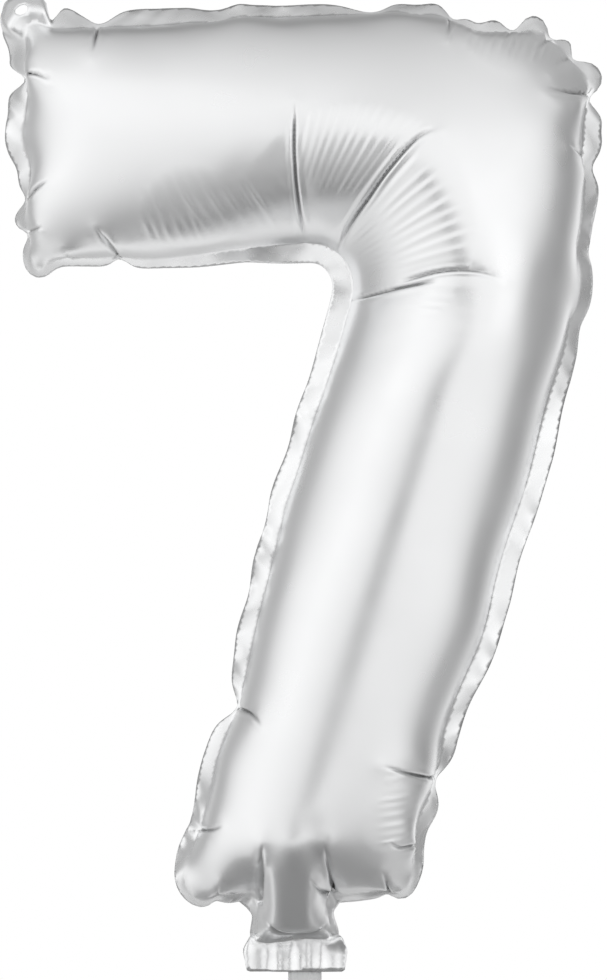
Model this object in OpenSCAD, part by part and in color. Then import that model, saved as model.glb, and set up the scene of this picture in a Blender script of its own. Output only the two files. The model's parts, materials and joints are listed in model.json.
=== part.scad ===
// Foil number balloon: an air-filled numeral seven made of two welded film sheets.
// Frame: +Z up, the front faces -Y, origin at the centre of the hang hole.
// The weld seam lies in the plane y = 0. The two sheets mirror each other in it.

/* [Figure] */
// Width of the figure from seam to seam
figure_w = 203; // [180:1:230]
// Height of the figure from the top seam to the foot seam
figure_h = 310.5; // [290:0.5:340]
// Height of the bar at its free end
bar_h = 87.5; // [80:0.5:95]
// Rise of the bar's top seam towards the bend
bar_rise = 5.5; // [3:0.5:8]
// Width of the foot from seam to seam
foot_w = 78; // [72:1:86]
// Distance of the foot's left corner from the figure's left seam
foot_shift = 57; // [50:1:62]

/* [Inflation] */
// Thickness of the figure near the bar's free end
bar_depth = 58; // [40:1:70]
// Thickness of the figure at the bend
bend_depth = 80; // [60:1:90]
// Thickness of the figure near the foot
foot_depth = 58; // [40:1:70]
// Length over which an end rounds off to its seam
end_len = 26; // [15:1:35]

/* [Film] */
// Thickness of one film sheet, thicker than the real film so that it is a sound solid
film_t = 0.2; // [0.1:0.05:0.3]
// Thickness of the fused layer between the two sheets in the weld margin
weld_t = 0.1; // [0.1:0.05:0.3]
// Width of the flat weld margin outside the seam
margin_w = 7.5; // [5:0.5:9]

/* [Hang hole] */
// Radius of the punched hang hole
hole_r = 2.4; // [1.5:0.1:3]
// Distance of the hole from the seam corner, sideways
hole_side = 3; // [3:0.5:4]
// Distance of the hole from the seam corner, upwards
hole_up = 6.5; // [6:0.5:8]
// Width of the hang tab to the left of the hole
tab_left = 7.5; // [6:0.5:9]
// Height of the hang tab above the hole
tab_top = 6; // [5:0.5:8]

/* [Neck] */
// Length of the inflated neck stub from the foot seam to the fold
neck_len = 17; // [15:0.5:19]
// Half thickness of the neck where it leaves the foot
neck_bulge = 8; // [5:0.5:10]
// Length of the flat neck flap below the fold
flap_len = 10; // [8:0.5:14]
// Height of the cross weld that closes the neck round the valve
cross_weld_h = 2.5; // [2:0.5:3]

/* [Valve] */
// Width of the flat valve tube
valve_w = 12; // [10:0.5:14]
// Thickness of one valve film
valve_t = 0.15; // [0.1:0.05:0.2]
// Height of the open channel between the two valve films
channel_t = 0.2; // [0.1:0.05:0.2]
// Width of each welded edge of the valve tube
valve_edge_w = 1; // [0.8:0.1:1.5]
// Sideways offset of the valve from the middle of the neck
valve_shift = 3; // [0:0.5:4]
// Length of the valve tube inside the neck and the foot
valve_inside = 72; // [50:1:90]
// Length of the valve tail below the flap
tail_len = 12; // [8:1:20]
// Height of the heat-resistant print inside the valve
print_h = 7; // [4:0.5:8]

/* [Hidden] */

// Seam corners and bends, as [x, z]
left_x = hole_side;
top_z = -hole_up + bar_rise;
foot_z = -hole_up - figure_h;
bar_top_start = [left_x, -hole_up];
bar_top_end = [left_x + 0.77 * figure_w, top_z];
bar_low_start = [left_x + 2, -hole_up - bar_h];
bar_low_end = [left_x + 0.47 * figure_w, top_z - 83];
leg_out_start = [left_x + figure_w - 7, top_z - 97];
leg_in_start = [left_x + figure_w - 88.5, top_z - 106];
foot_in = [left_x + foot_shift, foot_z];
foot_out = foot_in + [foot_w, 0];
// Tangent lengths of the outer bend and of the crook
outer_bend = [50, 40];
crook_bend = [17, 15];
// Bar and foot lengths along the middle, used to place rows by distance
bar_len = 125;
leg_len = 215;

// Rows along the figure: [place, end rise, end direction]. Place 0 to 1 is the bar,
// 1 to 2 the bend and 2 to 3 the leg. End rise grows from 0 at a seam to 1.
end_angles = [0, 12, 25, 40, 56, 73];
rows = concat(
    [for (a = end_angles) [end_len * (1 - cos(a)) / bar_len, sin(a), cos(a)]],
    [for (i = [1:8]) [end_len / bar_len + (1 - end_len / bar_len) * i / 8, 1, 0]],
    [for (i = [1:13]) [1 + i / 13, 1, 0]],
    [for (i = [1:8]) [2 + (1 - end_len / leg_len) * i / 8, 1, 0]],
    [for (k = [5:-1:0]) let (a = end_angles[k])
        [3 - end_len * (1 - cos(a)) / leg_len, sin(a), -cos(a)]]
);
seam_row = len(rows);
// Neck rows: distance below the foot seam
neck_flat = neck_len - 1.5;
neck_drops = [margin_w, 0.65 * neck_flat, 0.84 * neck_flat, 0.95 * neck_flat,
    neck_flat, neck_len];
last_row = seam_row + len(neck_drops);

// Columns across the figure, from the outer seam at 0 to the inner seam at 1
edge_cols = [0, 0.01, 0.035, 0.075, 0.13, 0.2];
cols = concat(
    edge_cols,
    [for (j = [7:17]) j / 24],
    [for (k = [5:-1:0]) 1 - edge_cols[k]]
);
last_col = len(cols) + 1;
neck_col = 8;
neck_cols = 8;
neck_share = 1 / 3;

// Room that the valve stack takes between the two sheets, as a half thickness
valve_half = channel_t / 2 + valve_t;
flat_gap = valve_half + 0.05;
weld_half = weld_t / 2;
layer_t = weld_half + film_t;

// Neck and valve places
neck_x = (foot_in[0] + foot_out[0]) / 2;
neck_w = foot_w * neck_share;
neck_margin = foot_w / 24;
neck_low = foot_z - neck_len;
fold_gap = 2;
flap_top = neck_low - fold_gap;
flap_low = flap_top - flap_len;
tail_gap = 1;
tail_top = flap_low - tail_gap;
tail_low = tail_top - tail_len;
valve_x = neck_x + valve_shift;

film_colour = [0.86, 0.87, 0.88];
weld_colour = [0.93, 0.94, 0.95];
valve_colour = [0.82, 0.84, 0.86, 0.7];

function mix(a, b, f) = a + (b - a) * f;
function unit(v) = v / norm(v);
function bezier(a, b, c, d, f) =
    a * pow(1 - f, 3) + 3 * b * f * pow(1 - f, 2) + 3 * c * f * f * (1 - f) + d * pow(f, 3);

leg_out_dir = unit(foot_out - leg_out_start);
leg_in_dir = unit(foot_in - leg_in_start);
bar_low_dir = unit(bar_low_end - bar_low_start);
bar_top_dir = unit(bar_top_end - bar_top_start);

// Outer seam: along the top of the bar, round the bend and down the leg
function outer_at(u) =
    u < 1 ? mix(bar_top_start, bar_top_end, u)
    : u < 2 ? bezier(bar_top_end, bar_top_end + bar_top_dir * outer_bend[0],
        leg_out_start - leg_out_dir * outer_bend[1], leg_out_start, u - 1)
    : mix(leg_out_start, foot_out, u - 2);

// Inner seam: along the bottom of the bar, round the crook and down the leg
function inner_at(u) =
    u < 1 ? mix(bar_low_start, bar_low_end, u)
    : u < 2 ? bezier(bar_low_end, bar_low_end + bar_low_dir * crook_bend[0],
        leg_in_start - leg_in_dir * crook_bend[1], leg_in_start, u - 1)
    : mix(leg_in_start, foot_in, u - 2);

// Unit direction that leaves each seam, away from the air
function outer_way(u) = let (d = unit(outer_at(u + 0.01) - outer_at(u - 0.01))) [-d[1], d[0]];
function inner_way(u) = let (d = unit(inner_at(u + 0.01) - inner_at(u - 0.01))) [d[1], -d[0]];

// The weld margin is wider on top of the bar's free end, where it carries the hang hole
function tab_extra(u) =
    u > 0.16 ? 0 : (hole_up + tab_top - margin_w) * (1 + cos(180 * u / 0.16)) / 2;

// Half thickness of the air space along the figure
function half_depth(u) =
    (u < 1 ? mix(bar_depth, bend_depth, u)
    : u < 2 ? bend_depth
    : mix(bend_depth, foot_depth, u - 2)) / 2;

// Round section across the figure, and the lens section of the neck
function section(v) = 2 * sqrt(max(0, v * (1 - v)));
function neck_section(v) = sqrt(max(0, 1 - pow((v - 0.5) * 2 / neck_share, 2)));
function in_neck(c) = c > neck_col && c < neck_col + neck_cols;
function neck_room(v, drop) =
    flat_gap + neck_bulge * sqrt(max(0, 1 - pow(drop / neck_flat, 2))) * neck_section(v);

// A point of the sheet in row r and column c, as [x, half thickness, z]. Rows 0 and
// columns 0 and last_col are the margin's free edges. inset moves it into the wall.
function col_share(c) = cols[min(max(c - 1, 0), last_col - 2)];
function row_point(u, c) =
    c == 0 ? outer_at(u) + outer_way(u) * (margin_w + tab_extra(u))
    : c == last_col ? inner_at(u) + inner_way(u) * margin_w
    : mix(outer_at(u), inner_at(u), col_share(c));
function wall_shift(u, c, inset) =
    c == 0 || c == last_col ? [0, 0]
    : unit(inner_at(u) - outer_at(u)) * inset * (1 - 2 * col_share(c));
function figure_node(r, c, inset) =
    let (
        row = rows[r - 1],
        u = row[0] + inset * row[2] / (row[0] < 1.5 ? bar_len : leg_len),
        p = row_point(u, c) + wall_shift(u, c, inset),
        v = col_share(c),
        body = c == 0 || c == last_col ? 0 : half_depth(row[0]) * row[1] * section(v),
        neck = r == seam_row && in_neck(c) ? neck_room(v, 0) : 0
    )
    [p[0], max(body, neck), p[1]];
function margin_node(c) =
    let (p = row_point(0, c), left = c == 0 ? tab_left + left_x : margin_w)
    [p[0] - left, 0, p[1]];
function neck_node(r, c) =
    let (
        p = row_point(3, c),
        drop = neck_drops[r - seam_row - 1],
        room = in_neck(c) ? neck_room(col_share(c), drop) : 0
    )
    [p[0], room, foot_z - drop];
function sheet_node(r, c, inset) =
    r == 0 ? margin_node(c) : r > seam_row ? neck_node(r, c) : figure_node(r, c, inset);

// Which cells of the grid hold film, and which of them are welded flat
function has_film(r, c) =
    r >= 0 && c >= 0 && c < last_col && r < last_row
    && (r <= seam_row || (c >= neck_col - 1 && c <= neck_col + neck_cols));
function has_weld(r, c) =
    has_film(r, c)
    && (r == 0 || c == 0 || c == last_col - 1
        || (r >= seam_row && (c < neck_col || c >= neck_col + neck_cols)));

// Closed solid between two faces of the cells that filled(r, c) names
module grid_solid(face_a, face_b, filled) {
    width = last_col + 1;
    count = width * (last_row + 1);
    at = function(r, c) r * width + c;
    cells = [for (r = [0:last_row - 1], c = [0:last_col - 1]) if (filled(r, c)) [r, c]];
    wall = function(i, j) [[i, i + count, j + count], [i, j + count, j]];
    points = concat(
        [for (r = [0:last_row], c = [0:last_col]) face_a(r, c)],
        [for (r = [0:last_row], c = [0:last_col]) face_b(r, c)]
    );
    faces = [for (q = cells)
        let (
            r = q[0],
            c = q[1],
            p = at(r, c),
            right = at(r, c + 1),
            low = at(r + 1, c),
            far = at(r + 1, c + 1)
        )
        each concat(
            [[p, right, far], [p, far, low]],
            [[p + count, far + count, right + count], [p + count, low + count, far + count]],
            filled(r - 1, c) ? [] : wall(right, p),
            filled(r + 1, c) ? [] : wall(low, far),
            filled(r, c - 1) ? [] : wall(p, low),
            filled(r, c + 1) ? [] : wall(far, right)
        )
    ];
    polyhedron(points = points, faces = faces, convexity = 8);
}

module hang_hole() {
    rotate([90, 0, 0]) cylinder(h = 4 * layer_t, r = hole_r, center = true, $fn = 64);
}

// One whole film sheet, on the side that faces -Y
module foil_sheet() {
    difference() {
        grid_solid(
            function(r, c) let (p = sheet_node(r, c, 0)) [p[0], -p[1] - layer_t, p[2]],
            function(r, c) let (p = sheet_node(r, c, film_t)) [p[0], -p[1] - weld_half, p[2]],
            function(r, c) has_film(r, c)
        );
        hang_hole();
    }
}

// Flat strip between two heights, its cross-section drawn in x and y
module flat_strip(low, high) {
    translate([0, 0, low]) linear_extrude(height = high - low) children();
}

module slab(x_mid, width, y_low, y_high, z_low, z_high) {
    translate([x_mid - width / 2, y_low, z_low])
        cube([width, y_high - y_low, z_high - z_low]);
}

// Section of one flat neck sheet, on the side that faces -Y
module neck_sheet_section() {
    rim = neck_w / 2 + neck_margin;
    seam = neck_w / 2;
    room = neck_w / 2 - neck_margin;
    inner = [[-rim, 0], [-seam, 0], [-room, flat_gap], [room, flat_gap], [seam, 0], [rim, 0]];
    near = [for (p = inner) [neck_x + p[0], -p[1] - layer_t]];
    far = [for (k = [len(inner) - 1:-1:0]) [neck_x + inner[k][0], -inner[k][1] - weld_half]];
    polygon(concat(near, far));
}

// Section of the room between the two flat neck sheets
module neck_room_section() {
    seam = neck_w / 2;
    room = neck_w / 2 - neck_margin;
    half = flat_gap + weld_half;
    translate([neck_x, 0]) polygon([
        [-seam, -weld_half], [-room, -half], [room, -half], [seam, -weld_half],
        [seam, weld_half], [room, half], [-room, half], [-seam, weld_half]
    ]);
}

// One valve film, on the side that faces -Y
module valve_film(low, high) {
    slab(valve_x, valve_w, -valve_half, -channel_t / 2, low, high);
}

module valve_edges(low, high) {
    for (side = [-1, 1]) {
        slab(valve_x + side * (valve_w - valve_edge_w) / 2, valve_edge_w,
            -channel_t / 2, channel_t / 2, low, high);
    }
}

module to_back() {
    mirror([0, 1, 0]) children();
}

module front_foil() {
    color(film_colour) foil_sheet();
}

module back_foil() {
    color(film_colour) to_back() foil_sheet();
}

module perimeter_weld() {
    color(weld_colour) difference() {
        grid_solid(
            function(r, c) let (p = sheet_node(r, c, 0)) [p[0], -weld_half, p[2]],
            function(r, c) let (p = sheet_node(r, c, 0)) [p[0], weld_half, p[2]],
            function(r, c) has_weld(r, c)
        );
        hang_hole();
    }
}

module valve_front_film() {
    color(valve_colour) valve_film(neck_low, neck_low + valve_inside);
}

module valve_back_film() {
    color(valve_colour) to_back() valve_film(neck_low, neck_low + valve_inside);
}

module valve_edge_welds() {
    color(valve_colour) valve_edges(neck_low, neck_low + valve_inside);
}

module flap_front_foil() {
    color(film_colour) flat_strip(flap_low, flap_top) neck_sheet_section();
}

module flap_back_foil() {
    color(film_colour) to_back() flat_strip(flap_low, flap_top) neck_sheet_section();
}

module flap_side_welds() {
    color(weld_colour) for (side = [-1, 1]) {
        slab(neck_x + side * (neck_w + neck_margin) / 2, neck_margin,
            -weld_half, weld_half, flap_low, flap_top);
    }
}

module flap_cross_weld() {
    high = flap_top - 1;
    color(weld_colour) difference() {
        flat_strip(high - cross_weld_h, high) neck_room_section();
        slab(valve_x, valve_w, -valve_half, valve_half, high - cross_weld_h - 1, high + 1);
    }
}

module flap_valve_front_film() {
    color(valve_colour) valve_film(flap_low, flap_top);
}

module flap_valve_back_film() {
    color(valve_colour) to_back() valve_film(flap_low, flap_top);
}

module flap_valve_edge_welds() {
    color(valve_colour) valve_edges(flap_low, flap_top);
}

// Coat on the inner face of the front valve film, which keeps the channel from fusing
module valve_release_print() {
    print_t = 0.04;
    color("dimgray") slab(valve_x, valve_w - 2 * valve_edge_w - 1,
        -channel_t / 2, -channel_t / 2 + print_t, flap_top - print_h, flap_top);
}

module tail_front_film() {
    color(valve_colour) valve_film(tail_low, tail_top);
}

module tail_back_film() {
    color(valve_colour) to_back() valve_film(tail_low, tail_top);
}

module tail_edge_welds() {
    color(valve_colour) valve_edges(tail_low, tail_top);
}

front_foil();
back_foil();
perimeter_weld();
valve_front_film();
valve_back_film();
valve_edge_welds();
flap_front_foil();
flap_back_foil();
flap_side_welds();
flap_cross_weld();
flap_valve_front_film();
flap_valve_back_film();
flap_valve_edge_welds();
valve_release_print();
tail_front_film();
tail_back_film();
tail_edge_welds();
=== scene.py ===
import json
import math

import bpy
import numpy as np
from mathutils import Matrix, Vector
from mathutils.bvhtree import BVHTree
from mathutils.geometry import delaunay_2d_cdt


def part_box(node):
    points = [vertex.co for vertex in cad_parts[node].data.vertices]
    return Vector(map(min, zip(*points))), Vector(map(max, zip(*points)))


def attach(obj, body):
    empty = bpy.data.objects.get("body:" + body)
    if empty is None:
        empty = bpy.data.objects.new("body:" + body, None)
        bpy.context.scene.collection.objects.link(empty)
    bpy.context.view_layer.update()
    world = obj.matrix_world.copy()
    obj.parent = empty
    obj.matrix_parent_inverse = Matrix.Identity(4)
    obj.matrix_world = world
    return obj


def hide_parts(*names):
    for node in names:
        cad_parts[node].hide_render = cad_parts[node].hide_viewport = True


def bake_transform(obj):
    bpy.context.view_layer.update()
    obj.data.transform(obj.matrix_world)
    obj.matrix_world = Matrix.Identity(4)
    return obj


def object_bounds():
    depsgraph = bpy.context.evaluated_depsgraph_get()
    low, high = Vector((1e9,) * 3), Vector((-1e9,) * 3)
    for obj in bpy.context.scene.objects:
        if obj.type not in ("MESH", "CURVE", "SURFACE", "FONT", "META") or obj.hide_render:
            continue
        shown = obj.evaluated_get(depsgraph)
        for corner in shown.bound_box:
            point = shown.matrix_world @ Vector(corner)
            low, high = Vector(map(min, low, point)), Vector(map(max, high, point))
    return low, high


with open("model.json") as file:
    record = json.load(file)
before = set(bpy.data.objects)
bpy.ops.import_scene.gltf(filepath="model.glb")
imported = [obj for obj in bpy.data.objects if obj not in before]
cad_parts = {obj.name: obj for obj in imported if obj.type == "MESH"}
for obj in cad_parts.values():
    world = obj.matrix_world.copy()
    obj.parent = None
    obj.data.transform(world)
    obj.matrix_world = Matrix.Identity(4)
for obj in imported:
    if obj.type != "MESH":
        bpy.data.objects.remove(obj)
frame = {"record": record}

cad_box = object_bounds()

# Lengths in the making of the film are in millimetres; MM takes them to metres.
MM = 0.001

# ---- places from the CAD
record = frame["record"]
joints = {j["name"]: j for j in record["behaviour"]["joints"]}
hole_mount = record["mounts"][0]
HOLE = np.array(hole_mount["pos_m"]) / MM
HOLE_R = hole_mount["dims"]["r_mm"]
FOLD = np.array(joints["neck_fold"]["pos_m"]) / MM
TAIL_FOLD = np.array(joints["tail_fold"]["pos_m"]) / MM


# ---- small helpers
def unit(vector):
    return vector / np.linalg.norm(vector)


def lengths(vectors):
    return np.linalg.norm(vectors, axis=-1)


def turned_left(vector):
    """A direction (x, z) turned a quarter to the left."""
    return np.array([-vector[1], vector[0]])


def twice_area(a, b, c):
    """Twice the signed area of each triangle of (x, z) points."""
    return (b[:, 0] - a[:, 0]) * (c[:, 1] - a[:, 1]) - (b[:, 1] - a[:, 1]) * (c[:, 0] - a[:, 0])


def corners_of(points, faces):
    return [points[faces[:, k]] for k in range(3)]


def smoothstep(value, low, high):
    t = np.clip((value - low) / (high - low), 0, 1)
    return t * t * (3 - 2 * t)


def window(value, low, high, soft):
    """1 between low and high, 0 outside, with edges 2 * soft wide."""
    return smoothstep(value, low - soft, low + soft) * (
        1 - smoothstep(value, high - soft, high + soft))


def added(name, data):
    """A new object in the scene."""
    thing = bpy.data.objects.new(name, data)
    bpy.context.scene.collection.objects.link(thing)
    return thing


# ---- the flat cut
# Corners of the seam line on the flat film, as (x, z, corner radius), clockwise from
# the bar's free end. The wide radii are the slight swell of the long edges.
SEAM = [
    (5.5, 37.5, 6), (84.5, 29.0, 60), (146.0, 15.5, 60), (208.0, -12.5, 38),
    (214.0, -105.0, 80), (199.5, -179.5, 90), (164.5, -329.5, 10),
    (136.5, -340.0, 2), (133.0, -356.0, 1), (105.0, -356.5, 1), (96.5, -342.5, 2),
    (67.5, -340.0, 10), (77.5, -193.0, 90), (90.5, -98.5, 20), (27.0, -76.0, 60),
    (-20.5, -56.0, 6), (-12.0, -1.5, 60),
]
# The right and left ends of the neck's end seam in that list
NECK_END = (8, 9)
# Margin width outside each seam edge; edge i runs from corner i to corner i + 1
MARGINS = [12.0, 8.0, 8.5, 9.0, 7.5, 7.0, 7.5, 4.5, 1.0, 3.6, 8.0, 8.0, 7.5, 7.5, 7.0, 8.0, 12.5]
# The flat skirt below the neck's end seam: its length and half its width
SKIRT_LONG = 12.2
SKIRT_HALF = 17.0
# The seal that crosses the skirt, as distances below the neck's end seam
CROSS_SEAL = (3.0, 5.5)
# Outside this half width the skirt's two films are sealed to each other
SKIRT_OPEN_HALF = 13.5
# The hang tab at the first corner: how far it stands out on each side of the corner, and
# where its hole is, above the corner and back from it along the top edge
TAB_UP = 12.0
TAB_RUN = 9.5
HOLE_UP, HOLE_BACK = 5.7, 0.4
# The neck's end seam lies this far above the fold
FOLD_ABOVE = 1.0


def corner_arc(before, corner, after, radius, step):
    """Points of the rounding at one corner of an outline."""
    p0, p1, p2 = (np.array(p, float) for p in (before, corner, after))
    a, b = unit(p0 - p1), unit(p2 - p1)
    half = math.acos(np.clip(a @ b, -1, 1)) / 2
    if radius < 0.01:
        return [p1]
    centre = p1 + unit(a + b) * radius / math.sin(half)
    start = p1 + a * radius / math.tan(half) - centre
    end = p1 + b * radius / math.tan(half) - centre
    a0 = math.atan2(start[1], start[0])
    turn = (math.atan2(end[1], end[0]) - a0 + math.pi) % (2 * math.pi) - math.pi
    count = max(2, int(abs(turn) * radius / step) + 1)
    angles = [a0 + turn * k / count for k in range(count + 1)]
    return [centre + radius * np.array([math.cos(q), math.sin(q)]) for q in angles]


def rounded(corners, step=1.0):
    """A closed outline through corners (x, z, radius), as points."""
    points = []
    for i, (x, z, radius) in enumerate(corners):
        after = corners[(i + 1) % len(corners)]
        points += corner_arc(corners[i - 1][:2], (x, z), after[:2], radius, step)
    return np.array(points)


def widened(corners, widths):
    """The corners of the outline that lies widths[i] outside edge i of a clockwise one."""
    places = [np.array(c[:2], float) for c in corners]
    count = len(places)
    lines = []
    for i in range(count):
        along = unit(places[(i + 1) % count] - places[i])
        lines.append((places[i] + turned_left(along) * widths[i], along))
    result = []
    for i in range(count):
        (p, d), (q, e) = lines[i - 1], lines[i]
        reach = np.linalg.solve(np.array([d, -e]).T, q - p)[0]
        x, z = p + d * reach
        convex = d[0] * e[1] - d[1] * e[0] < 0
        grow = (widths[i - 1] + widths[i]) / 2
        radius = corners[i][2] + grow if convex else max(corners[i][2] - grow, 1.0)
        result.append([x, z, radius])
    return result


def neck_end():
    """Middle of the neck's end seam on the flat cut, and its directions across and down."""
    right, left = (np.array(SEAM[k][:2]) for k in NECK_END)
    across = unit(right - left)
    return (right + left) / 2, across, -turned_left(across)


def film_outline():
    """The cut edge of the film (the seam line with its margin, the skirt and the hang tab),
    and the hang hole's middle."""
    outer = widened(SEAM, MARGINS)
    corner = np.array(SEAM[0][:2])
    top = unit(np.array(SEAM[1][:2]) - corner)
    side = unit(np.array(SEAM[-1][:2]) - corner)
    up, left = turned_left(top), -turned_left(side)
    middle, across, down = neck_end()
    for k, turn in zip(NECK_END, (1, -1)):
        foot = middle + turn * across * (SKIRT_HALF + 1) + down * SKIRT_LONG
        outer[k] = (*foot, 1.0)
    tab = [
        (*(corner + side * 10 + left * MARGINS[-1]), 3.0),
        (*(corner - side * 2 + left * (MARGINS[-1] - 1)), 2.0),
        (*(corner + up * TAB_UP + left * (TAB_RUN - 1.5)), 3.5),
        (*(corner + up * TAB_UP + top * 5), 3.0),
        (*(corner + up * (MARGINS[0] + 0.5) + top * 13), 5.0),
        (*(corner + up * MARGINS[0] + top * 24), 5.0),
    ]
    return rounded(tab + outer[1:]), corner + up * HOLE_UP - top * HOLE_BACK


def resampled(outline, step):
    """A closed outline as evenly spaced points."""
    closed = np.vstack([outline, outline[:1]])
    run = np.concatenate([[0], np.cumsum(lengths(np.diff(closed, axis=0)))])
    spots = np.linspace(0, run[-1], int(round(run[-1] / step)), endpoint=False)
    return np.stack([np.interp(spots, run, closed[:, k]) for k in range(2)], 1)


def inside(points, outline):
    """Which points (x, z) lie inside a closed outline."""
    x, z = points[:, 0], points[:, 1]
    hit = np.zeros(len(points), bool)
    for (x1, z1), (x2, z2) in zip(outline, np.roll(outline, -1, axis=0)):
        if z1 != z2:
            hit ^= ((z1 > z) != (z2 > z)) & (x < (x2 - x1) * (z - z1) / (z2 - z1) + x1)
    return hit


def distance_to(points, outline):
    """How far each point lies from a closed outline."""
    best = np.full(len(points), 1e9)
    for p, q in zip(outline, np.roll(outline, -1, axis=0)):
        d = q - p
        along = np.clip(((points - p) @ d) / max(d @ d, 1e-12), 0, 1)
        best = np.minimum(best, lengths(points - p - along[:, None] * d))
    return best


def lattice(low, high, step):
    """Points in rows that make even triangles."""
    rows = np.arange(low[1], high[1], step * math.sqrt(3) / 2)
    cells = np.arange(low[0], high[0], step)
    return np.array([(x + (j % 2) * step / 2, z) for j, z in enumerate(rows) for x in cells])


class Cut:
    """A triangle mesh of the flat film. The seam and the hang hole are edges of it. In each
    fine zone, a step and a function of the points, it is finer where that is below zero."""

    def __init__(self, step, fine=()):
        outer, hole = film_outline()
        self.seam = resampled(rounded(SEAM), step)
        self.hole = hole
        # The fine zones start with the margin's, whose step is the outer edge's as well
        loops = [resampled(outer, fine[0][0] if fine else step), self.seam]
        count = max(10, int(2 * math.pi * HOLE_R / step))
        ring = np.arange(count) * (2 * math.pi / count)
        loops.append(hole + HOLE_R * np.stack([np.cos(ring), np.sin(ring)], 1))
        low, high = outer.min(0), outer.max(0)
        fill = lattice(low, high, step)
        fill = fill[inside(fill, outer)]
        spare = np.full(len(fill), step)
        for small, zone in fine:
            extra = lattice(low, high, small)
            extra = extra[inside(extra, outer)]
            extra = extra[zone(extra) <= 0]
            keep = zone(fill) > spare * 0.6
            fill = np.vstack([fill[keep], extra])
            spare = np.concatenate([spare[keep], np.full(len(extra), small)])
        for loop in loops:
            keep = distance_to(fill, loop) > 0.6 * spare
            fill, spare = fill[keep], spare[keep]
        fill = fill[lengths(fill - hole) > HOLE_R]
        spots, edges = [], []
        for loop in loops:
            base = len(spots)
            spots += [Vector(p) for p in loop]
            edges += [(base + i, base + (i + 1) % len(loop)) for i in range(len(loop))]
        spots += [Vector(p) for p in fill]
        found = delaunay_2d_cdt(spots, edges, [], 1, 1e-4)
        self.flat = np.array([tuple(v) for v in found[0]])
        faces = np.array([tuple(f) for f in found[2]])
        upside_down = twice_area(*corners_of(self.flat, faces)) < 0
        faces[upside_down] = faces[upside_down][:, [0, 2, 1]]
        faces = faces[lengths(self.flat[faces].mean(1) - hole) > HOLE_R * 0.98]
        self.faces = faces
        self.airy = inside(self.flat[faces].mean(1), self.seam)
        self.on_seam = distance_to(self.flat, self.seam) < 0.01
        inner = np.zeros(len(self.flat), bool)
        inner[np.unique(faces[self.airy])] = True
        self.inner = inner & ~self.on_seam


# ---- filling it with air
# The flat film starts this uneven, so that it can buckle
UNEVEN = 0.05
# The simulation's length unit for each millimetre, and the film's behaviour in it
SIM_SCALE = 0.01
FILM_CLOTH = {
    "quality": 5, "mass": 0.02, "air_damping": 1,
    "tension_stiffness": 15, "compression_stiffness": 15, "shear_stiffness": 7.5,
    "bending_stiffness": 0.05, "tension_damping": 5, "compression_damping": 5,
    "shear_damping": 5, "bending_damping": 0.5,
    "use_pressure": True, "uniform_pressure_force": 5, "vertex_group_pressure": "air",
}


def inflated(cut, frames):
    """Front and back positions of the cut's points once air fills it, in millimetres."""
    count = len(cut.flat)
    inner = cut.inner
    back = np.arange(count)
    back[inner] = count + np.arange(inner.sum())
    depth = distance_to(cut.flat, cut.seam)
    start = np.zeros((count + inner.sum(), 3))
    start[:count, [0, 2]] = cut.flat
    start[:count, 1] = np.where(inner, -np.sqrt(depth), 0.0)
    start[count:, [0, 2]] = cut.flat[inner]
    start[count:, 1] = np.sqrt(depth[inner])
    start[:, 1] += np.random.default_rng(7).normal(0, UNEVEN, len(start))
    airy = cut.faces[cut.airy]
    faces = np.vstack([airy, back[airy][:, [0, 2, 1]], cut.faces[~cut.airy]])
    mesh = bpy.data.meshes.new("air_film")
    mesh.from_pydata((start * SIM_SCALE).tolist(), [], faces.tolist())
    mesh.update()
    film = added("air_film", mesh)
    group = film.vertex_groups.new(name="air")
    group.add([int(i) for i in np.unique(faces[: 2 * len(airy)])], 1.0, "REPLACE")
    cloth = film.modifiers.new("inflate", "CLOTH")
    for setting, value in FILM_CLOTH.items():
        setattr(cloth.settings, setting, value)
    cloth.settings.effector_weights.gravity = 0
    cloth.collision_settings.use_collision = False
    cloth.point_cache.frame_start = 1
    cloth.point_cache.frame_end = frames + 1
    for frame_number in range(1, frames + 1):
        bpy.context.scene.frame_set(frame_number)
    done = film.evaluated_get(bpy.context.evaluated_depsgraph_get())
    result = done.to_mesh()
    places = np.zeros(len(result.vertices) * 3, np.float32)
    result.vertices.foreach_get("co", places)
    done.to_mesh_clear()
    bpy.data.objects.remove(film)
    bpy.context.scene.frame_set(1)
    places = places.reshape(-1, 3).astype(float) / SIM_SCALE
    return places[:count], places[back]


# ---- putting it in its place
def placed(cut, front, back):
    """Turns and sizes the film so that its hole and neck end meet the CAD's hole and fold."""
    hole = front[lengths(cut.flat - cut.hole) < HOLE_R * 1.05].mean(0)
    close = np.argsort(lengths(cut.flat - neck_end()[0]))[:3]
    neck = front[close].mean(0)
    have = (neck - hole)[[0, 2]]
    want = (FOLD - HOLE)[[0, 2]] + np.array([0.0, FOLD_ABOVE])
    size = np.linalg.norm(want) / np.linalg.norm(have)
    turn = math.atan2(want[1], want[0]) - math.atan2(have[1], have[0])
    cos, sin = math.cos(turn) * size, math.sin(turn) * size
    level = np.median(front[cut.on_seam, 1])
    for places in (front, back):
        x, z = places[:, 0] - hole[0], places[:, 2] - hole[2]
        places[:, 0] = HOLE[0] + cos * x - sin * z
        places[:, 2] = HOLE[2] + sin * x + cos * z
        places[:, 1] = (places[:, 1] - level) * size


def sides_of(faces):
    """The three sides of each face, as pairs of points in the face's own order."""
    return np.vstack([faces[:, [0, 1]], faces[:, [1, 2]], faces[:, [2, 0]]])


def edge_list(faces):
    """The edges of a mesh as pairs of points, and how many faces use each."""
    return np.unique(np.sort(sides_of(faces), axis=1), axis=0, return_counts=True)


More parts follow.
